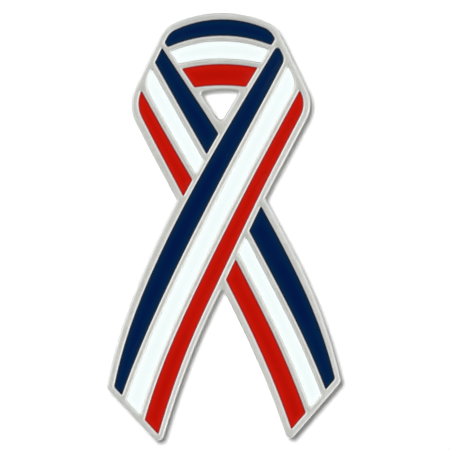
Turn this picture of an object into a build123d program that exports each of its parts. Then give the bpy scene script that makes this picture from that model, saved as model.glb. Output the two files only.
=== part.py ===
"""Awareness ribbon pin: a die-struck metal ribbon filled with enamel, with a post and a clutch behind.

Millimetres. The ribbon lies in planes of constant Z, its enamelled face up, the loop towards +Y.
The origin is on the post's axis, where the clutch's flat foot rests.
"""
from build123d import *
from collections import namedtuple
import os

# The ribbon seen from the front
ribbon_height = 28.6
ribbon_width = 15.6
post_below_top = 14.3
right_fold_shift = 0.18  # how much nearer the axis the right fold is than the left one

# Raised metal, as widths across the line
loop_rim = 0.45
front_shoulder_rim = 0.44
back_shoulder_rim = 0.45
front_navy_rim = 0.55
front_red_rim = 0.44
back_navy_rim = 0.58
back_red_rim = 0.50
tail_rim = 0.43
rib_width = 0.39
navy_crossing_line = 0.34
red_crossing_line = 0.41

# Roundings of the outline and of the recesses
front_shoulder_radius = 2.1
back_shoulder_radius = 2.5
loop_corner_radius = 1.9
tail_corner_radius = 0.4
front_tip_radius = 0.40
back_tip_radius = 0.33
inner_corner_radius = 0.15
sharp_cell_radius = 0.05
open_cell_radius = 0.15
tail_cell_radius = 0.28
loop_cell_radius = 1.2
navy_tip_radius = 0.20
navy_shoulder_radius = 0.7
front_white_radius = 1.3
left_white_radius = 1.4
hole_point_radius = 0.3
widest_rounding = 0.5  # of a recess's corner, as a share of the narrower wall that it joins
smooth_meeting = 0.999  # least cosine between the normals of two walls that run smoothly on
rim_edge_radius = 0.12
back_edge_chamfer = 0.08

# Depths
plate_thickness = 1.5
recess_depth = 0.45
enamel_sink = 0.12
enamel_clearance = 0.02

# Post and clutch
post_diameter = 1.05
post_length = 5.6
post_point = 1.0
solder_diameter = 2.4
solder_height = 0.35
clutch_floor = 0.54  # metal under the post's point
clutch_diameter = 6.0
clutch_flange_diameter = 6.8
clutch_flange_thickness = 0.6
clutch_neck_diameter = 4.4
clutch_neck_height = 0.9
clutch_edge_radius = 0.3
clutch_flange_radius = 0.2
clutch_bore_clearance = 0.06
fabric_gap = 1.0

post_end = clutch_floor + clutch_bore_clearance
plate_back = post_end + post_length
clutch_height = plate_back - fabric_gap
plate_top = plate_back + plate_thickness

# A level of a band: how far down the ribbon it is, as a share of the height from the top of the
# loop; how far across its four lines are, as shares of half the width from the axis to +X; and how
# wide its two rims are there, as shares of their named widths.
Level = namedtuple("Level", "down navy_edge navy_rib red_rib red_edge navy_rim red_rim")

FRONT_LEVELS = [
    Level(0.00, 0.560, 0.750, 0.970, 1.200, 1.00, 1.05),
    Level(0.15, 0.225, 0.487, 0.696, 0.911, 1.00, 1.05),
    Level(0.30, -0.103, 0.191, 0.398, 0.622, 1.05, 1.05),
    Level(0.45, -0.412, -0.098, 0.109, 0.333, 1.12, 0.91),
    Level(0.60, -0.670, -0.373, -0.167, 0.071, 1.03, 0.91),
    Level(0.75, -0.876, -0.625, -0.423, -0.187, 0.95, 0.91),
    Level(0.90, -1.002, -0.839, -0.633, -0.398, 0.86, 0.87),
    Level(1.05, -1.034, -0.990, -0.768, -0.562, 0.80, 0.85),
]

BACK_LEVELS = [
    Level(0.00, -0.620, -0.830, -1.022, -1.234, 1.00, 1.00),
    Level(0.15, -0.258, -0.533, -0.725, -0.932, 1.00, 1.00),
    Level(0.30, 0.097, -0.223, -0.417, -0.655, 1.00, 1.05),
    Level(0.45, 0.400, 0.088, -0.098, -0.361, 0.81, 1.00),
    Level(0.60, 0.687, 0.380, 0.192, -0.074, 0.79, 0.92),
    Level(0.75, 0.907, 0.659, 0.467, 0.200, 0.66, 0.91),
    Level(0.90, 1.050, 0.888, 0.699, 0.435, 0.59, 0.93),
    Level(1.05, 1.146, 1.049, 0.877, 0.619, 0.57, 0.95),
]

# How far past the ribbon a shape that trims it reaches, in ribbon widths or heights
well_past = 2

# The slanted end of a tail: where its outer corner and its tip are.
Cut = namedtuple("Cut", "corner_across corner_down tip_across tip_down")

FRONT_CUT = Cut(-0.984, 0.876, -0.524, 1.011)
BACK_CUT = Cut(1.015, 0.861, 0.565, 1.003)

# A band: its levels, its cut end, its rims, the rounding of its shoulder, and the way from its navy
# edge to its red one, 1 for +X.
Band = namedtuple("Band", "levels cut navy_rim red_rim shoulder_rim shoulder_radius way")

FRONT = Band(
    FRONT_LEVELS, FRONT_CUT, front_navy_rim, front_red_rim, front_shoulder_rim, front_shoulder_radius, 1
)
BACK = Band(
    BACK_LEVELS, BACK_CUT, back_navy_rim, back_red_rim, back_shoulder_rim, back_shoulder_radius, -1
)

# An arch across the loop: how far down it is at the axis, and how far down at a reach to each side.
Arch = namedtuple("Arch", "middle ends reach")

NAVY_ARCH = Arch(0.060, 0.092, 0.50)
RED_ARCH = Arch(0.113, 0.136, 0.50)
SILL_ARCH = Arch(0.169, 0.177, 0.30)
HOLE_ARCH = Arch(0.179, 0.198, 0.30)

# How far the hole under the arches reaches into the rim of the back band
hole_reach = 0.11

# Corners before they are rounded, as shares across and down
loop_corner = (0.494, 0.0354)
shoulder = (0.804, 0.210)
navy_tip = (0.47, 0.078)
navy_shoulder = (0.54, 0.109)
white_shoulder = (0.63, 0.166)
hole_point = (-0.01, 0.255)


def spot(across, down):
    """Point at a share of half the width from the axis and a share of the height from the top."""
    return Vector(across * ribbon_width / 2, post_below_top - down * ribbon_height)


def aside(start, end, distance):
    """Step square to the way from start to end, to its left."""
    return (end - start).rotate(Axis.Z, 90).normalized() * distance


def moved_line(band, line, steps):
    """Points of a band's line, each moved square to it by its own step towards the band's red edge."""
    points = [spot(getattr(level, line), level.down) for level in band.levels]
    before = points[:1] + points[:-1]
    after = points[1:] + points[-1:]
    return [point + aside(a, b, step * band.way) for point, a, b, step in zip(points, before, after, steps)]


def band_line(band, line, inward=0):
    """Points of a band's line, all moved by the same step."""
    return moved_line(band, line, [inward] * len(band.levels))


def navy_side(band, more):
    """The inner side of a band's navy rim, moved a little more inwards."""
    return moved_line(band, "navy_edge", [band.navy_rim * level.navy_rim + more for level in band.levels])


def red_side(band, more):
    """The inner side of a band's red rim, moved a little more inwards."""
    return moved_line(band, "red_edge", [-band.red_rim * level.red_rim - more for level in band.levels])


def beyond(points, way):
    """Everything to one side of a smooth line: to +X for way 1, to -X for way -1."""
    first = points[0]
    last = points[-1]
    far = way * well_past * ribbon_width
    with BuildSketch() as face:
        with BuildLine():
            Spline(*points)
            Polyline(last, (far, last.Y), (far, first.Y), first)
        make_face()
    return face.sketch


def between(start, end, way):
    """Face of a stripe, from its line on the navy side to its line on the red side."""
    with BuildSketch() as face:
        add(beyond(start, way))
        add(beyond(end, -way), mode=Mode.INTERSECT)
    return face.sketch


def polygon(points):
    """Face inside straight sides."""
    with BuildSketch() as face:
        with BuildLine():
            Polyline(*points, close=True)
        make_face()
    return face.sketch


def under_folds(top_inset, left_inset, right_inset):
    """Everything below the loop's top and between the two shoulder folds, less an inset from each."""
    corner = spot(*loop_corner)
    chord = corner.X
    rise = post_below_top - corner.Y
    radius = (chord**2 + rise**2) / (2 * rise)
    centre = Vector(0, post_below_top - radius)
    fold = spot(*shoulder) - corner
    square = aside(corner, spot(*shoulder), -1)
    high = corner - fold
    low = corner + fold.normalized() * well_past * ribbon_height
    right_high = high + square * (right_fold_shift + right_inset)
    right_low = low + square * (right_fold_shift + right_inset)
    left_high = high + square * left_inset
    left_low = low + square * left_inset
    left_side = [(-left_low.X, left_low.Y), (-left_high.X, left_high.Y)]
    with BuildSketch() as face:
        with Locations(centre):
            Circle(radius - top_inset)
        with Locations((0, centre.Y - ribbon_height)):
            Rectangle(well_past * ribbon_width, 2 * ribbon_height)
        add(polygon([right_high, right_low] + left_side), mode=Mode.INTERSECT)
    return face.sketch


def before_cut(cut, inset):
    """Everything above the slanted end of a tail, less an inset from it."""
    corner = spot(cut.corner_across, cut.corner_down)
    tip = spot(cut.tip_across, cut.tip_down)
    across = (corner - tip).normalized() * well_past * ribbon_width
    up = aside(corner, tip, 1)
    up = up if up.Y > 0 else -up
    start = corner + across + up * inset
    end = tip - across + up * inset
    high = up * well_past * ribbon_height
    return polygon([start, end, end + high, start + high])


def above_arch(arch, lift):
    """Everything above an arch that is lifted a little, well past the ribbon's sides."""
    up = Vector(0, lift)
    left = spot(-arch.reach, arch.ends) + up
    middle = spot(0, arch.middle) + up
    right = spot(arch.reach, arch.ends) + up
    far_right = spot(well_past, arch.ends) + up
    far_left = spot(-well_past, arch.ends) + up
    high = Vector(0, ribbon_height)
    with BuildSketch() as face:
        with BuildLine():
            ThreePointArc(left, middle, right)
            Polyline(right, far_right, far_right + high, far_left + high, far_left, left)
        make_face()
    return face.sketch


def band_face(band):
    """A whole band, ended at the shoulder's fold above and at the tail's cut below."""
    with BuildSketch() as face:
        add(between(band_line(band, "navy_edge"), band_line(band, "red_edge"), band.way))
        add(under_folds(0, 0, 0), mode=Mode.INTERSECT)
        add(before_cut(band.cut, 0), mode=Mode.INTERSECT)
    return face.sketch


def hole_face():
    """The three-sided hole, between the two bands and under the loop."""
    with BuildSketch() as face:
        add(between(band_line(BACK, "navy_edge", hole_reach), band_line(FRONT, "navy_edge"), 1))
        add(above_arch(HOLE_ARCH, 0), mode=Mode.SUBTRACT)
    return face.sketch


# The ribbon's whole face: two crossed bands and the loop behind them, round a three-sided hole
with BuildSketch() as outline:
    add(under_folds(0, 0, 0))
    add(above_arch(HOLE_ARCH, 0), mode=Mode.INTERSECT)
    add(band_face(FRONT))
    add(band_face(BACK))
    add(hole_face(), mode=Mode.SUBTRACT)


def cover(band, play):
    """What a band hides of whatever lies under it, up to a line's width from its own enamel."""
    from_navy = navy_side(band, -navy_crossing_line - play)
    to_red = red_side(band, -red_crossing_line - play)
    return between(from_navy, to_red, band.way)


def recess_limit(play):
    """Where a recess may be, inside the rims along the loop's top and the shoulders."""
    return under_folds(loop_rim + play, back_shoulder_rim + play, front_shoulder_rim + play)


def tail_corner(band):
    """Where the outer corner of a band's tail is."""
    return (band.cut.corner_across, band.cut.corner_down)


def tail_tip(band):
    """Where the tip of a band's tail is."""
    return (band.cut.tip_across, band.cut.tip_down)


def inside_rims(band, play):
    """Everything inside a band's rims, its shoulder and its tail's corner rounded as the outline's are."""
    across, down = shoulder
    with BuildSketch() as face:
        add(between(navy_side(band, play), red_side(band, play), band.way))
        add(recess_limit(play), mode=Mode.INTERSECT)
        add(before_cut(band.cut, tail_rim + play), mode=Mode.INTERSECT)
        at_shoulder = face.vertices().sort_by_distance(spot(band.way * across, down))[0]
        fillet(at_shoulder, band.shoulder_radius - band.shoulder_rim - play)
        at_tail = face.vertices().sort_by_distance(spot(*tail_corner(band)))[0]
        fillet(at_tail, tail_cell_radius - play)
    return face.sketch


def band_recess(band, colour, covers, play):
    """Recesses of one stripe of a band, smaller all round by the play."""
    rib = rib_width / 2 + play
    after_navy_rib = beyond(band_line(band, "navy_rib", rib), band.way)
    before_navy_rib = beyond(band_line(band, "navy_rib", -rib), -band.way)
    after_red_rib = beyond(band_line(band, "red_rib", rib), band.way)
    before_red_rib = beyond(band_line(band, "red_rib", -rib), -band.way)
    limits = {
        "navy": [before_navy_rib],
        "white": [after_navy_rib, before_red_rib],
        "red": [after_red_rib],
    }
    with BuildSketch() as cell:
        add(inside_rims(band, play))
        for limit in limits[colour]:
            add(limit, mode=Mode.INTERSECT)
        for over in covers:
            add(cover(over, play), mode=Mode.SUBTRACT)
    return cell.sketch.faces().sort_by(Axis.Y)


def loop_recess(colour, play):
    """Recess of one stripe of the loop, between its arches and the bands that cover its ends."""
    rib = rib_width / 2 + play
    arches = {
        "navy": (None, above_arch(NAVY_ARCH, rib)),
        "white": (above_arch(NAVY_ARCH, -rib), above_arch(RED_ARCH, rib)),
        "red": (above_arch(RED_ARCH, -rib), above_arch(SILL_ARCH, play)),
    }
    over, under = arches[colour]
    with BuildSketch() as cell:
        add(recess_limit(play))
        add(under, mode=Mode.INTERSECT)
        if over is not None:
            add(over, mode=Mode.SUBTRACT)
        add(cover(FRONT, play), mode=Mode.SUBTRACT)
        add(cover(BACK, play), mode=Mode.SUBTRACT)
    return cell.sketch.face()


def recesses(play):
    """The twelve recesses by name."""
    cells = {}
    for colour in ("navy", "white", "red"):
        back = band_recess(BACK, colour, [FRONT], play)
        cells["loop_" + colour] = loop_recess(colour, play)
        cells["left_" + colour] = back[-1]
        cells["tail_" + colour] = back[0]
        cells["front_" + colour] = band_recess(FRONT, colour, [], play)[0]
    return cells


def upright_near(part, place):
    """The upright edge of a part that is nearest to a place in the ribbon's face."""
    return part.edges().filter_by(Axis.Z).sort_by_distance(Vector(place.X, place.Y, plate_top))[0]


def mirrored(share_pair):
    """The same place on the other side of the axis."""
    across, down = share_pair
    return (-across, down)


# A corner with a rounding of its own
Bend = namedtuple("Bend", "place radius")

CELL_BENDS = {
    "loop_navy": [Bend(loop_corner, loop_cell_radius), Bend(mirrored(loop_corner), loop_cell_radius)],
    "front_navy": [Bend(navy_tip, navy_tip_radius), Bend(navy_shoulder, navy_shoulder_radius)],
    "front_white": [Bend(white_shoulder, front_white_radius)],
    "left_white": [Bend(mirrored(white_shoulder), left_white_radius)],
}

PLATE_BENDS = [
    Bend(loop_corner, loop_corner_radius),
    Bend(mirrored(loop_corner), loop_corner_radius),
    Bend(shoulder, front_shoulder_radius),
    Bend(mirrored(shoulder), back_shoulder_radius),
    Bend(tail_corner(FRONT), tail_corner_radius),
    Bend(tail_corner(BACK), tail_corner_radius),
    Bend(tail_tip(FRONT), front_tip_radius),
    Bend(tail_tip(BACK), back_tip_radius),
    Bend(hole_point, hole_point_radius),
]


def corner_radius(edge, walls):
    """Rounding of an upright edge: small at less than a right angle, none where the walls run smoothly on."""
    meeting = [wall for wall in walls if edge in wall.edges()]
    normals = [wall.normal_at(edge.center()) for wall in meeting]
    turn = normals[0].dot(normals[1])
    if turn > smooth_meeting:
        return 0
    radius = open_cell_radius if turn > 0 else sharp_cell_radius
    narrower = min(wall.area for wall in meeting) / edge.length
    return min(radius, narrower * widest_rounding)


def cell_block(name, face, low, high):
    """Upright block on the face of a recess, with its corners rounded."""
    with BuildPart() as block:
        with BuildSketch(Plane.XY.offset(low)):
            add(face)
        extrude(amount=high - low)
        uprights = block.edges().filter_by(Axis.Z)
        walls = block.faces().filter_by(Axis.Z, reverse=True)
        radii = {tuple(edge.center()): corner_radius(edge, walls) for edge in uprights}
        for bend in CELL_BENDS.get(name, []):
            radii[tuple(upright_near(block, spot(*bend.place)).center())] = bend.radius
        for place, radius in radii.items():
            if radius:
                fillet(upright_near(block, Vector(*place)), radius)
    return block.part


# The struck plate, its recesses, and the post that is soldered to its back
with BuildPart() as ribbon_plate:
    with BuildSketch(Plane.XY.offset(plate_back)):
        add(outline.sketch)
    extrude(amount=plate_thickness)
    bent = [upright_near(ribbon_plate, spot(*bend.place)) for bend in PLATE_BENDS]
    inner = [edge for edge in ribbon_plate.edges().filter_by(Axis.Z) if edge not in bent]
    fillet(inner, inner_corner_radius)
    for bend in PLATE_BENDS:
        fillet(upright_near(ribbon_plate, spot(*bend.place)), bend.radius)
    fillet(ribbon_plate.faces().sort_by(Axis.Z)[-1].edges(), rim_edge_radius)
    chamfer(ribbon_plate.faces().sort_by(Axis.Z)[0].edges(), back_edge_chamfer)
    for name, face in recesses(0).items():
        add(cell_block(name, face, plate_top - recess_depth, plate_top), mode=Mode.SUBTRACT)
    with BuildSketch(Plane.XZ):
        with BuildLine():
            solder_low = plate_back - solder_height
            Polyline(
                (0, plate_back),
                (solder_diameter / 2, plate_back),
                (post_diameter / 2, solder_low),
                (post_diameter / 2, post_end + post_point),
                (0, post_end),
                close=True,
            )
        make_face()
    revolve(axis=Axis.Z)
ribbon_plate.part.label = "ribbon_plate"

# The clasp: a turned clutch, gripped by its cap, with a flange towards the cloth
with BuildPart() as clutch:
    with BuildSketch(Plane.XZ) as turned:
        with BuildLine():
            flange_low = clutch_height - clutch_flange_thickness
            neck_low = flange_low - clutch_neck_height
            bore = post_diameter / 2 + clutch_bore_clearance
            Polyline(
                (0, 0),
                (clutch_diameter / 2, 0),
                (clutch_diameter / 2, neck_low),
                (clutch_neck_diameter / 2, neck_low),
                (clutch_neck_diameter / 2, flange_low),
                (clutch_flange_diameter / 2, flange_low),
                (clutch_flange_diameter / 2, clutch_height),
                (bore, clutch_height),
                (bore, clutch_floor),
                (0, clutch_floor),
                close=True,
            )
        make_face()
        neck_middle = flange_low - clutch_neck_height / 2
        cap_corners = turned.vertices().filter_by(lambda corner: corner.Y < neck_middle)
        fillet(cap_corners.group_by(Axis.X)[-1], clutch_edge_radius)
        flange_corners = turned.vertices().filter_by(lambda corner: corner.Y > neck_middle)
        fillet(flange_corners.group_by(Axis.X)[-1], clutch_flange_radius)
    revolve(axis=Axis.Z)
clutch.part.label = "clutch"

os.makedirs("parts", exist_ok=True)
export_step(ribbon_plate.part, "parts/ribbon_plate.step")
export_step(clutch.part, "parts/clutch.step")
for name, face in recesses(enamel_clearance).items():
    with BuildPart() as enamel:
        low = plate_top - recess_depth + enamel_clearance
        add(cell_block(name, face, low, plate_top - enamel_sink))
    enamel.part.label = "enamel_" + name
    export_step(enamel.part, "parts/enamel_" + name + ".step")
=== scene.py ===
"""Looks of the awareness ribbon pin: satin nickel lines round glossy enamel, on a pale table.

Metres. The ribbon lies enamelled face up, its loop towards +Y, and rests on the foot of its clutch.
"""
from collections import namedtuple
import math

import bpy
import numpy as np
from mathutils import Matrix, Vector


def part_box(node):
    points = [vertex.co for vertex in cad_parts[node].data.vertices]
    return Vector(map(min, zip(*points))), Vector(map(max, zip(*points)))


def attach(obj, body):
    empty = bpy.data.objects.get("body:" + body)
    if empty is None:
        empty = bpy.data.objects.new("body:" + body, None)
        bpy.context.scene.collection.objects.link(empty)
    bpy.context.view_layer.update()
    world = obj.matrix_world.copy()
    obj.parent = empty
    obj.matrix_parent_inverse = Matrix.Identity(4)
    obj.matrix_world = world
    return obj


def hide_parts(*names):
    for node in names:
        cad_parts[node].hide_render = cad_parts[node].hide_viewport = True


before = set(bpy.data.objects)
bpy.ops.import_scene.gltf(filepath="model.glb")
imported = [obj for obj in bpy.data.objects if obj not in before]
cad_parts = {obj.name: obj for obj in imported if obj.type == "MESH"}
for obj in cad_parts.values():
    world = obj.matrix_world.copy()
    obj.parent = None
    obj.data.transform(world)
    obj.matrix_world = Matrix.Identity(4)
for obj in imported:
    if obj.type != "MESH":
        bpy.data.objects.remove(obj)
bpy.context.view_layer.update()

mm = 0.001

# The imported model's own places
plate_low, plate_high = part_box("ribbon_plate")
plate_top = plate_high.z
clutch_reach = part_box("clutch")[1].x

# What counts as the same place, and a finer reach for merging a copy's corners and for cutting its faces
nearly = 0.001 * mm
merge_reach = nearly / 10

# How much a face's normal rises, at most for an upright face and at least for one that faces up
upright = 0.1
upward = 0.9

# Degrees: faces that turn by less become one flat face, and edges that turn by more are shaded sharp
flat_angle = 0.3
plate_crease = 50
round_crease = 40

# The metal's edges
rib_edge_width = 0.135 * mm
rib_edge_steps = 4
rib_edge_squash = 0.45  # its depth as a share of its width
rib_crown = 0.012 * mm
rib_crown_reach = 0.24 * mm
rib_grid = 0.10 * mm

# How far down the recess walls the metal sinks with the crown's edge
recess_wall = 0.3 * mm

# Where a highlight is painted on the plating: on the edges, and on the rims a little way in from the outline
highlight_edge_depth = 0.13 * mm
highlight_rim_reach = 0.30 * mm
highlight_rim_share = 0.6

# The enamel's surface
enamel_grid = 0.08 * mm
enamel_clearance = 0.02 * mm
enamel_climb = 0.015 * mm
enamel_climb_reach = 0.03 * mm
enamel_dip = 0.012 * mm
enamel_dip_reach = 0.30 * mm

# The flutes that the fingers grip, round the clutch's cap
flute_count = 36
flute_steps = 8  # spin steps in each flute
flute_cuts = 24  # cuts along the cap's wall
flute_depth = 0.13 * mm
flute_margin = 0.30 * mm  # plain wall left above and below
flute_run_out = 0.25 * mm
shortest_wall = 2 * mm

# How many points are measured against an outline in one go
points_at_once = 500

# How many features of each noise there are in a metre
nickel_grain = 7000
nickel_clouds = 900
turned_rings = 12000
turned_clouds = 500
enamel_clouds = 420
enamel_specks = 6000
enamel_waves = 900
floor_clouds = 30

# The grain of the plate's side, which the trimming tool drew out upright
trimmed_stretch = (1, 1, 0.12)

# A material's relief: its full height and how strongly it shows
Relief = namedtuple("Relief", "height strength")

NICKEL_RELIEF = Relief(0.004 * mm, 1.0)
TURNED_RELIEF = Relief(0.002 * mm, 0.6)
ENAMEL_RELIEF = Relief(0.004 * mm, 0.4)

# A material's roughness: the least there is, and what its clouds and its grain add
Rough = namedtuple("Rough", "least clouds grain")

NICKEL_ROUGH = Rough(0.38, 0.08, 0.06)
TURNED_ROUGH = Rough(0.22, 0.06, 0.12)
ENAMEL_ROUGH = Rough(0.07, 0.04, 0.02)

# The plating's colours: in its duller patches, out of them, and its painted highlight on the edges and rims
DULL_NICKEL = (0.81, 0.815, 0.75, 1)
CLEAR_NICKEL = (0.90, 0.905, 0.845, 1)
HIGHLIGHT_NICKEL = (0.96, 0.97, 0.95, 1)

# Where the plating begins to be clear and where it is, on the product of grain and clouds
clear_from = 0.18
clear_to = 0.36

# The turned metal's colours, from one end of its clouds to the other
DULL_TURNED = (0.70, 0.69, 0.66, 1)
CLEAR_TURNED = (0.80, 0.79, 0.77, 1)

# An enamel's colours: with painted shade in the middle of a fill, its own between, and with painted shade at
# the metal walls
Enamel = namedtuple("Enamel", "deep usual thin")

ENAMELS = {
    "navy": Enamel((0.0002, 0.008, 0.060, 1), (0.0003, 0.017, 0.062, 1), (0.0002, 0.004, 0.020, 1)),
    "white": Enamel((0.78, 0.86, 0.855, 1), (0.84, 0.90, 0.895, 1), (0.80, 0.86, 0.85, 1)),
    "red": Enamel((0.44, 0.004, 0.001, 1), (0.54, 0.007, 0.002, 1), (0.26, 0.003, 0.002, 1)),
}

# Millimetres from the metal: the middle's painted shade begins and is whole, the walls' painted shade begins
# to fade and is gone
middle_shade_from = 0.05
middle_shade_to = 0.6
wall_shade_to = 0.03
wall_shade_end = 0.18

# How much of the middle's painted shade there is besides its clouds, and of the walls' painted shade at the
# edge
middle_shade_share = 0.4
wall_shade_share = 0.9

# How strongly the enamel mirrors
enamel_gloss = 0.32

# The table
floor_width = 4
floor_dark = 0.90
floor_pale = 0.92
floor_roughness = 0.9
floor_gloss = 0.1

# The key light: bearing from +Y towards +X, tilt from straight above and spread, in degrees, and strength
key_bearing = -45
key_tilt = 2.5
key_spread = 3.1
key_strength = 0.93

# A ring of panels round the pin: its height in degrees, and in metres its distance and a panel's width
Ring = namedtuple("Ring", "elevation distance width")

HIGH_RING = Ring(55, 0.8, 0.65)
LOW_RING = Ring(38, 1.0, 0.5)

# A soft square panel: the ring it hangs in, its bearing as the key light's, and its strength
Panel = namedtuple("Panel", "name ring bearing strength")

PANELS = [
    Panel("high_panel_55", HIGH_RING, 55, 0.74),
    Panel("high_panel_125", HIGH_RING, 125, 0.72),
    Panel("high_panel_235", HIGH_RING, 235, 0.27),
    Panel("high_panel_305", HIGH_RING, 305, 0.95),
    Panel("low_panel_north", LOW_RING, 0, 0.10),
    Panel("low_panel_east", LOW_RING, 108, 1.15),
    Panel("low_panel_south", LOW_RING, 180, 0.08),
    Panel("low_panel_west", LOW_RING, 290, 1.0),
]

# The room's brightness at a height, which runs from 0 straight below to 1 straight above
Shade = namedtuple("Shade", "height level")

# Pale below the horizon, dim above it, and darkest overhead
ROOM = [
    Shade(0.0, 1.0),
    Shade(0.49, 1.0),
    Shade(0.5, 0.34),
    Shade(0.62, 0.27),
    Shade(0.75, 0.21),
    Shade(0.9, 0.17),
    Shade(0.9925, 0.17),
    Shade(0.996, 0.02),
    Shade(1.0, 0.015),
]

# The sockets of a Mix node that mixes colours, by their numbers
mix_share = 0
mix_low = 6
mix_high = 7
mix_colour = 2

# The picture, which is square
view_width = 30 * mm
view_centre = (0.20 * mm, 0.147 * mm)
camera_height = 300 * mm


def deselect():
    """Leaves object mode with nothing selected."""
    if bpy.context.object and bpy.context.object.mode == "EDIT":
        bpy.ops.object.mode_set(mode="OBJECT")
    bpy.ops.object.select_all(action="DESELECT")


def take(piece):
    """Makes a piece the only selected one."""
    deselect()
    piece.select_set(True)
    bpy.context.view_layer.objects.active = piece


def edit(piece, kind="FACE"):
    """Opens a piece in edit mode with nothing selected."""
    take(piece)
    bpy.ops.object.mode_set(mode="EDIT")
    bpy.ops.mesh.select_mode(type=kind)
    bpy.ops.mesh.select_all(action="DESELECT")


def pick(piece, kind, chosen):
    """Selects the vertices, edges or faces that a test chooses, and nothing else."""
    bpy.ops.object.mode_set(mode="OBJECT")
    mesh = piece.data
    groups = {"VERT": mesh.vertices, "EDGE": mesh.edges, "FACE": mesh.polygons}
    for group in groups.values():
        group.foreach_set("select", np.zeros(len(group), bool))
    for item in groups[kind]:
        item.select = chosen(item)
    bpy.ops.object.mode_set(mode="EDIT")
    bpy.ops.mesh.select_mode(type=kind)


def add_object(name, data):
    """A new object in the scene."""
    made = bpy.data.objects.new(name, data)
    bpy.context.collection.objects.link(made)
    return made


def merged_copy(node, name):
    """A new piece with a CAD node's own mesh, its doubles merged and its flat faces whole."""
    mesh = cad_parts[node].data.copy()
    mesh.materials.clear()
    piece = add_object(name, mesh)
    edit(piece, "VERT")
    bpy.ops.mesh.select_all(action="SELECT")
    bpy.ops.mesh.customdata_custom_splitnormals_clear()
    bpy.ops.mesh.remove_doubles(threshold=merge_reach)
    bpy.ops.mesh.dissolve_limited(angle_limit=math.radians(flat_angle))
    bpy.ops.object.mode_set(mode="OBJECT")
    return piece


def smooth(piece, crease):
    """Smooth shading, but sharp at edges that turn by more than a crease, with flat faces kept flat."""
    take(piece)
    bpy.ops.object.shade_smooth_by_angle(angle=math.radians(crease))
    weighted = piece.modifiers.new("weighted", "WEIGHTED_NORMAL")
    weighted.keep_sharp = True
    bpy.ops.object.modifier_apply(modifier=weighted.name)


def finish_piece(piece, material, slot, *nodes):
    """Gives a piece its material, puts it on the root body, and hides the CAD nodes it takes the place of.
    """
    piece.data.materials.append(material)
    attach(piece, "root")
    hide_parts(*nodes)


class Value:
    """A shader socket that Python's operators work on: an expression adds its Math nodes."""

    def __init__(self, shader, output):
        self.shader = shader
        self.output = output

    def math(self, operation, *others):
        node = self.shader.node("Math", {"operation": operation}, dict(enumerate(others)))
        return Value(self.shader, node.outputs[0])

    def __add__(self, other):
        return self.math("ADD", self, other)

    def __mul__(self, other):
        return self.math("MULTIPLY", self, other)

    def __pow__(self, other):
        return self.math("POWER", self, other)

    __radd__ = __add__
    __rmul__ = __mul__


class Shader:
    """A material, or the world, with a method that adds any node."""

    def __init__(self, owner):
        self.owner = owner
        owner.use_nodes = True
        self.tree = owner.node_tree
        self.tree.nodes.clear()

    def node(self, kind, settings, sockets):
        """Adds a node: its settings are set first, then its sockets get values or links."""
        made = self.tree.nodes.new("ShaderNode" + kind)
        for name, value in settings.items():
            if name == "stops":
                ramp = made.color_ramp.elements
                while len(ramp) < len(value):
                    ramp.new(1)
                for stop, (place, colour) in zip(ramp, value):
                    stop.position = place
                    stop.color = colour
            else:
                setattr(made, name, value)
        for name, value in sockets.items():
            if isinstance(value, Value):
                self.tree.links.new(value.output, made.inputs[name])
            else:
                made.inputs[name].default_value = value
        return made

    def value(self, kind, settings, sockets, output=0):
        """One output of a new node, ready for Python's operators."""
        return Value(self, self.node(kind, settings, sockets).outputs[output])

    def place(self):
        """The place on the object, in its own coordinates."""
        return self.value("TexCoord", {}, {}, "Object")

    def attribute(self, name):
        """A number that each of the mesh's vertices carries."""
        return self.value("Attribute", {"attribute_name": name}, {}, "Fac")

    def noise(self, scale, detail=2, stretch=(1, 1, 1)):
        """Noise between 0 and 1 over the object, its scale being how many features there are in a metre."""
        where = self.value("Mapping", {}, {"Vector": self.place(), "Scale": stretch})
        return self.value("TexNoise", {}, {"Vector": where, "Scale": scale, "Detail": detail})

    def mix(self, share, low, high):
        """A colour between two."""
        sockets = {mix_share: share, mix_low: low, mix_high: high}
        return self.value("Mix", {"data_type": "RGBA"}, sockets, mix_colour)

    def between(self, value, low, high, to_low, to_high):
        """A value brought smoothly from one range to another."""
        sockets = {"Value": value, "From Min": low, "From Max": high, "To Min": to_low, "To Max": to_high}
        return self.value("MapRange", {"interpolation_type": "SMOOTHSTEP"}, sockets)

    def roughness(self, rough, clouds, grain):
        """Roughness that varies with a material's clouds and its grain."""
        return rough.least + rough.clouds * clouds + rough.grain * grain

    def bump(self, height, relief):
        """Normals of a material's relief, for a height between 0 and 1."""
        sockets = {"Height": height, "Distance": relief.height, "Strength": relief.strength}
        return self.value("Bump", {}, sockets)

    def surface(self, sockets):
        """Ends the material in one Principled shader."""
        made = self.node("BsdfPrincipled", {}, sockets)
        self.node("OutputMaterial", {}, {"Surface": Value(self, made.outputs[0])})
        return self.owner


def new_shader(name):
    """An empty material with a name."""
    return Shader(bpy.data.materials.new(name))


def grey(level):
    """A neutral colour."""
    return (level, level, level, 1)


def nickel_finish():
    """Satin nickel plating with a fine grain and duller patches, and a painted highlight where the mesh
    marks its edges and rims.
    """
    shader = new_shader("satin_nickel")
    grain = shader.noise(nickel_grain, detail=3, stretch=trimmed_stretch)
    clouds = shader.noise(nickel_clouds)
    clear = shader.between(grain * clouds, clear_from, clear_to, 0, 1)
    satin = shader.mix(clear, DULL_NICKEL, CLEAR_NICKEL)
    return shader.surface({
        # The painted highlight lightens the plating where the mesh marks it
        "Base Color": shader.mix(shader.attribute("polish"), satin, HIGHLIGHT_NICKEL),
        "Metallic": 1.0,
        "Roughness": shader.roughness(NICKEL_ROUGH, clouds, grain),
        "Normal": shader.bump(grain, NICKEL_RELIEF),
    })


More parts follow.
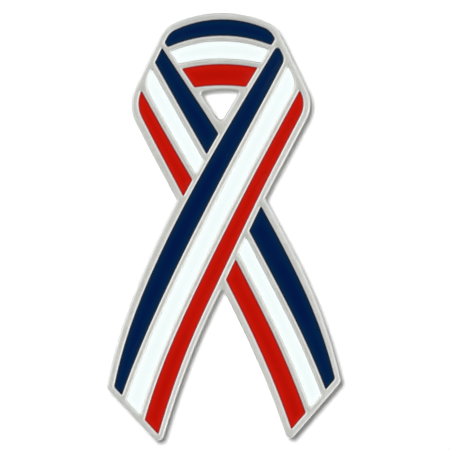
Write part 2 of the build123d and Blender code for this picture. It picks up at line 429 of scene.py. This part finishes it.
def turned_finish():
    """Nickel plating over turned metal, with fine rings round the post's axis."""
    shader = new_shader("turned_nickel")
    parts = shader.node("SeparateXYZ", {}, {"Vector": shader.place()})
    across = Value(shader, parts.outputs["X"])
    along = Value(shader, parts.outputs["Y"])
    up = Value(shader, parts.outputs["Z"])
    radius = (across * across + along * along) ** 0.5
    where = shader.value("CombineXYZ", {}, {"X": radius, "Y": up})
    rings = shader.value("TexNoise", {}, {"Vector": where, "Scale": turned_rings, "Detail": 2})
    clouds = shader.noise(turned_clouds)
    return shader.surface({
        "Base Color": shader.mix(clouds, DULL_TURNED, CLEAR_TURNED),
        "Metallic": 1.0,
        "Roughness": shader.roughness(TURNED_ROUGH, clouds, rings),
        "Normal": shader.bump(rings, TURNED_RELIEF),
    })


def enamel_finish(colour):
    """Glossy soft enamel, with painted shade darker towards the middle of a fill and at the metal walls."""
    shader = new_shader(colour + "_enamel_gloss")
    enamel_colours = ENAMELS[colour]
    wall = shader.attribute("from_wall")
    clouds = shader.noise(enamel_clouds)
    specks = shader.noise(enamel_specks)
    # Painted shade, darker towards the middle of the fill and varied by clouds
    middle = shader.between(wall, middle_shade_from, middle_shade_to, 0, 1)
    body = shader.mix(middle * (middle_shade_share + clouds), enamel_colours.usual, enamel_colours.deep)
    # Painted shade at the metal walls
    edge = shader.between(wall, wall_shade_to, wall_shade_end, 1, 0)
    return shader.surface({
        "Base Color": shader.mix(edge * wall_shade_share, body, enamel_colours.thin),
        "Roughness": shader.roughness(ENAMEL_ROUGH, clouds, specks),
        "Specular IOR Level": enamel_gloss,
        "Normal": shader.bump(shader.noise(enamel_waves, detail=1), ENAMEL_RELIEF),
    })


def from_outline(points, edges):
    """How far each of some points in the plane is from the nearest of some straight edges."""
    start = edges[:, 0]
    way = edges[:, 1] - start
    length = (way * way).sum(1)
    found = []
    for some in np.array_split(points, math.ceil(len(points) / points_at_once)):
        reach = some[:, None] - start
        share = np.clip((reach * way).sum(2) / length, 0, 1)
        found.append(np.linalg.norm(reach - share[..., None] * way, axis=2).min(1))
    return np.concatenate(found)


def places(mesh):
    """Every vertex's place, as rows of an array."""
    points = np.empty(len(mesh.vertices) * 3)
    mesh.vertices.foreach_get("co", points)
    return points.reshape(-1, 3)


def carry(mesh, name, values):
    """Has each vertex of a mesh carry a number."""
    mesh.attributes.new(name, "FLOAT", "POINT").data.foreach_set("value", values)


def border_of(mesh, chosen):
    """The open edges of a sheet of chosen faces, the sheet on their left, as pairs of vertices."""
    ways = set()
    for face in mesh.polygons:
        if chosen(face):
            corners = list(face.vertices)
            ways.update(zip(corners, corners[1:] + corners[:1]))
    return np.array(sorted(way for way in ways if way[::-1] not in ways))


def cut_in_grid(low, high, grid):
    """Cuts the visible faces of the mesh in edit mode along a square grid."""
    for axis in (0, 1):
        steps = math.ceil((high[axis] - low[axis]) / grid)
        for step in range(1, steps):
            place = [0, 0, 0]
            place[axis] = low[axis] + step * grid
            normal = [0, 0, 0]
            normal[axis] = 1
            bpy.ops.mesh.select_all(action="SELECT")
            bpy.ops.mesh.bisect(plane_co=place, plane_no=normal, threshold=merge_reach)


def in_top(mesh, item):
    """Whether an edge or a face lies in the plate's flat top."""
    return all(abs(mesh.vertices[v].co.z - plate_top) < nearly for v in item.vertices)


def place_of(vertex):
    """A vertex's place, rounded so that it can be looked up."""
    return tuple(round(part / nearly) for part in vertex.co)


def recess_edges(mesh):
    """A test for the edges where the plate's flat top meets an upright wall."""
    rises = {}
    for face in mesh.polygons:
        for pair in face.edge_keys:
            rises.setdefault(pair, []).append(face.normal.z)

    def chosen(edge):
        meeting = rises[edge.key]
        return in_top(mesh, edge) and min(meeting, key=abs) < upright and max(meeting) > upward

    return chosen


def round_recess_edges(piece, kept):
    """Rounds the recess edges over, less deep than wide. Corners at kept places stay where they are."""
    recess_edge = recess_edges(piece.data)
    edit(piece, "EDGE")
    pick(piece, "EDGE", recess_edge)
    bpy.ops.mesh.bevel(offset=rib_edge_width, segments=rib_edge_steps, clamp_overlap=False, loop_slide=False)
    bpy.ops.object.mode_set(mode="OBJECT")
    for vertex in piece.data.vertices:
        depth = plate_top - vertex.co.z
        if place_of(vertex) not in kept and depth > nearly:
            vertex.co.z = plate_top - depth * rib_edge_squash


def highlight_and_crown(mesh, border, outer):
    """Marks where a highlight is painted along the edges and rims, and lets the raised lines fall towards
    their borders.
    """
    points = places(mesh)
    high = points[:, 2] > plate_top - recess_wall
    flat = points[:, 2] > plate_top - nearly
    inwards = from_outline(points[flat, :2], outer)
    # Painted highlight: whole on the edges, and fading inwards from the outline on the flat top
    polish = (points[:, 2] > plate_top - highlight_edge_depth).astype(float)
    polish[flat] = highlight_rim_share * np.clip(1 - inwards / highlight_rim_reach, 0, 1)
    carry(mesh, "polish", polish)
    away = np.zeros(len(points))
    away[flat] = from_outline(points[flat, :2], border)
    fall = np.clip(1 - away / rib_crown_reach, 0, 1) ** 2
    points[high, 2] -= rib_crown * fall[high]
    mesh.vertices.foreach_set("co", points.ravel())


def plate():
    """The struck plate: a merged copy, its recess edges rounded over and its raised lines crowned."""
    piece = merged_copy("ribbon_plate", "struck_plate")
    mesh = piece.data
    kept = {place_of(vertex) for vertex in mesh.vertices}
    round_recess_edges(piece, kept)
    edges = border_of(mesh, lambda face: in_top(mesh, face))
    border = places(mesh)[edges][..., :2]
    outer = border[[all(place_of(mesh.vertices[v]) in kept for v in edge) for edge in edges]]
    edit(piece, "FACE")
    pick(piece, "FACE", lambda face: in_top(mesh, face))
    bpy.ops.mesh.hide(unselected=True)
    cut_in_grid(plate_low, plate_high, rib_grid)
    bpy.ops.mesh.reveal(select=False)
    bpy.ops.object.mode_set(mode="OBJECT")
    highlight_and_crown(mesh, border, outer)
    smooth(piece, plate_crease)
    finish_piece(piece, nickel_finish(), "plated_metal", "ribbon_plate")


def widen(points, border, distance):
    """Moves the border of a flat sheet outwards, square to its edges."""
    inside = points[:, :2].copy()
    outward = np.zeros((2, len(points), 2))
    seen = np.zeros(len(points), int)
    for start, end in border:
        way = inside[end] - inside[start]
        square = np.array([way[1], -way[0]]) / np.linalg.norm(way)
        for vertex in (start, end):
            outward[seen[vertex], vertex] = square
            seen[vertex] += 1
    ends = np.unique(border)
    first = outward[0, ends]
    second = outward[1, ends]
    points[ends, :2] += distance * (first + second) / (1 + (first * second).sum(1))[:, None]


def enamel(node, material, slot):
    """One fill of enamel: its flat face cut into a fine grid, and its surface let climb at the walls."""
    piece = merged_copy(node, node.replace("enamel_", "") + "_fill")
    low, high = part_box(node)
    depth = high.z - low.z
    edit(piece, "FACE")
    pick(piece, "FACE", lambda face: face.normal.z < upward)
    bpy.ops.mesh.delete(type="FACE")
    cut_in_grid(low, high, enamel_grid)
    bpy.ops.object.mode_set(mode="OBJECT")
    mesh = piece.data
    border = border_of(mesh, lambda face: True)
    points = places(mesh)
    widen(points, border, enamel_clearance)
    wall = from_outline(points[:, :2], points[border][..., :2])
    climb = enamel_climb * np.exp(-wall / enamel_climb_reach)
    dip = enamel_dip * (1 - np.exp(-wall / enamel_dip_reach))
    points[:, 2] += climb - dip
    mesh.vertices.foreach_set("co", points.ravel())
    carry(mesh, "from_wall", wall / mm)
    edit(piece, "FACE")
    bpy.ops.mesh.select_all(action="SELECT")
    bpy.ops.mesh.extrude_region_move(TRANSFORM_OT_translate={"value": (0, 0, -depth)})
    bpy.ops.transform.resize(value=(1, 1, 0), center_override=(0, 0, low.z))
    bpy.ops.mesh.dissolve_faces()
    bpy.ops.mesh.select_all(action="SELECT")
    bpy.ops.mesh.normals_make_consistent(inside=False)
    bpy.ops.object.mode_set(mode="OBJECT")
    smooth(piece, round_crease)
    finish_piece(piece, material, slot, node)


def enamels():
    """The twelve fills, in three colours."""
    finishes = {colour: enamel_finish(colour) for colour in ENAMELS}
    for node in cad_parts:
        if node.startswith("enamel_"):
            colour = node.split("_")[-1]
            enamel(node, finishes[colour], colour + "_enamel")


def half_section(piece):
    """Leaves of a turned piece only its outline, in the half plane of +X and Z."""
    edit(piece)
    bpy.ops.mesh.select_all(action="SELECT")
    bpy.ops.mesh.bisect(plane_co=(0, 0, 0), plane_no=(0, 1, 0), clear_inner=True, clear_outer=True,
                        threshold=nearly)
    bpy.ops.mesh.select_all(action="SELECT")
    bpy.ops.mesh.bisect(plane_co=(0, 0, 0), plane_no=(1, 0, 0), clear_inner=True, threshold=nearly)
    bpy.ops.object.mode_set(mode="OBJECT")


def cut_flutes(mesh, cap_radius, wall_low, wall_high):
    """Presses flutes into the cap's wall, each running out before the wall's ends."""
    points = places(mesh)
    radius = np.hypot(points[:, 0], points[:, 1])
    turn = np.arctan2(points[:, 1], points[:, 0])
    from_end = np.minimum(points[:, 2] - wall_low, wall_high - points[:, 2]) - flute_margin
    share = np.clip(from_end / flute_run_out, 0, 1) * (radius > cap_radius - nearly)
    share *= 0.5 + 0.5 * np.cos(flute_count * turn)
    points[:, :2] *= (1 - flute_depth * share / np.maximum(radius, nearly))[:, None]
    mesh.vertices.foreach_set("co", points.ravel())


def clutch():
    """The turned clutch: the CAD clutch's half section, spun round the post's axis, its cap fluted."""
    piece = merged_copy("clutch", "turned_clutch")
    mesh = piece.data
    half_section(piece)

    def cap_wall(edge):
        first, second = (mesh.vertices[v].co for v in edge.vertices)
        outside = min(first.x, second.x) > clutch_reach / 2
        return outside and abs(first.x - second.x) < nearly and abs(first.z - second.z) > shortest_wall

    walls = [edge for edge in mesh.edges if cap_wall(edge)]
    corners = [mesh.vertices[v].co for edge in walls for v in edge.vertices]
    ends = sorted((corner.x, corner.z) for corner in corners)
    cap_radius = ends[-1][0]
    wall_low = ends[0][1]
    wall_high = ends[-1][1]
    edit(piece)
    pick(piece, "EDGE", cap_wall)
    bpy.ops.mesh.subdivide(number_cuts=flute_cuts)
    bpy.ops.mesh.select_all(action="SELECT")
    bpy.ops.mesh.spin(steps=flute_count * flute_steps, angle=math.tau, center=(0, 0, 0), axis=(0, 0, 1))
    bpy.ops.mesh.select_all(action="SELECT")
    bpy.ops.mesh.remove_doubles(threshold=nearly)
    bpy.ops.mesh.normals_make_consistent(inside=False)
    bpy.ops.object.mode_set(mode="OBJECT")
    cut_flutes(mesh, cap_radius, wall_low, wall_high)
    smooth(piece, round_crease)
    finish_piece(piece, turned_finish(), "clutch_metal", "clutch")


def table_top():
    """A plain pale floor."""
    deselect()
    bpy.ops.mesh.primitive_plane_add(size=floor_width, location=(0, 0, 0))
    floor = bpy.context.object
    floor.name = "pale_floor"
    shader = new_shader("pale_floor_paint")
    shader.surface({
        "Base Color": shader.mix(shader.noise(floor_clouds), grey(floor_dark), grey(floor_pale)),
        "Roughness": floor_roughness,
        "Specular IOR Level": floor_gloss,
    })
    floor.data.materials.append(shader.owner)


def key_light():
    """The light that casts the shadow, from nearly straight above, which metal and gloss don't mirror."""
    light = bpy.data.lights.new("key", "SUN")
    light.energy = key_strength * math.pi
    light.angle = math.radians(key_spread)
    lamp = add_object("key", light)
    lamp.rotation_euler = (math.radians(key_tilt), 0, math.pi - math.radians(key_bearing))
    lamp.visible_glossy = False


def soft_panel(panel):
    """A soft square light, aimed at the pin, which only metal and gloss show."""
    bearing = math.radians(panel.bearing)
    elevation = math.radians(panel.ring.elevation)
    light = bpy.data.lights.new(panel.name, "AREA")
    light.shape = "SQUARE"
    light.size = panel.ring.width
    light.energy = panel.strength * math.pi * panel.ring.width**2
    lamp = add_object(panel.name, light)
    away = (math.sin(bearing) * math.cos(elevation), math.cos(bearing) * math.cos(elevation),
            math.sin(elevation))
    lamp.location = [panel.ring.distance * part for part in away]
    lamp.rotation_euler = (math.pi / 2 - elevation, 0, math.pi - bearing)
    lamp.visible_diffuse = False


def room():
    """The room round the pin, as the world's background."""
    world = bpy.data.worlds.new("pale_room")
    shader = Shader(world)
    direction = shader.value("TexCoord", {}, {}, "Generated")
    parts = shader.node("SeparateXYZ", {}, {"Vector": direction})
    height = 0.5 + 0.5 * Value(shader, parts.outputs["Z"])
    stops = [(shade.height, grey(shade.level)) for shade in ROOM]
    glow = shader.value("ValToRGB", {"stops": stops}, {"Fac": height})
    background = shader.value("Background", {}, {"Color": glow, "Strength": 1.0})
    shader.node("OutputWorld", {}, {"Surface": background})
    bpy.context.scene.world = world


def studio():
    """The light: a key from the upper left, four high panels, four low ones, and the room."""
    key_light()
    for panel in PANELS:
        soft_panel(panel)
    room()


def camera():
    """Straight down on the ribbon's face, as the picture was taken, with no perspective to speak of."""
    lens = bpy.data.cameras.new("front")
    lens.type = "ORTHO"
    lens.ortho_scale = view_width
    eye = add_object("front", lens)
    eye.location = (view_centre[0], view_centre[1], camera_height)
    bpy.context.scene.camera = eye


camera()
plate()
enamels()
clutch()
table_top()
studio()
bpy.context.scene.view_settings.view_transform = "Standard"
deselect()
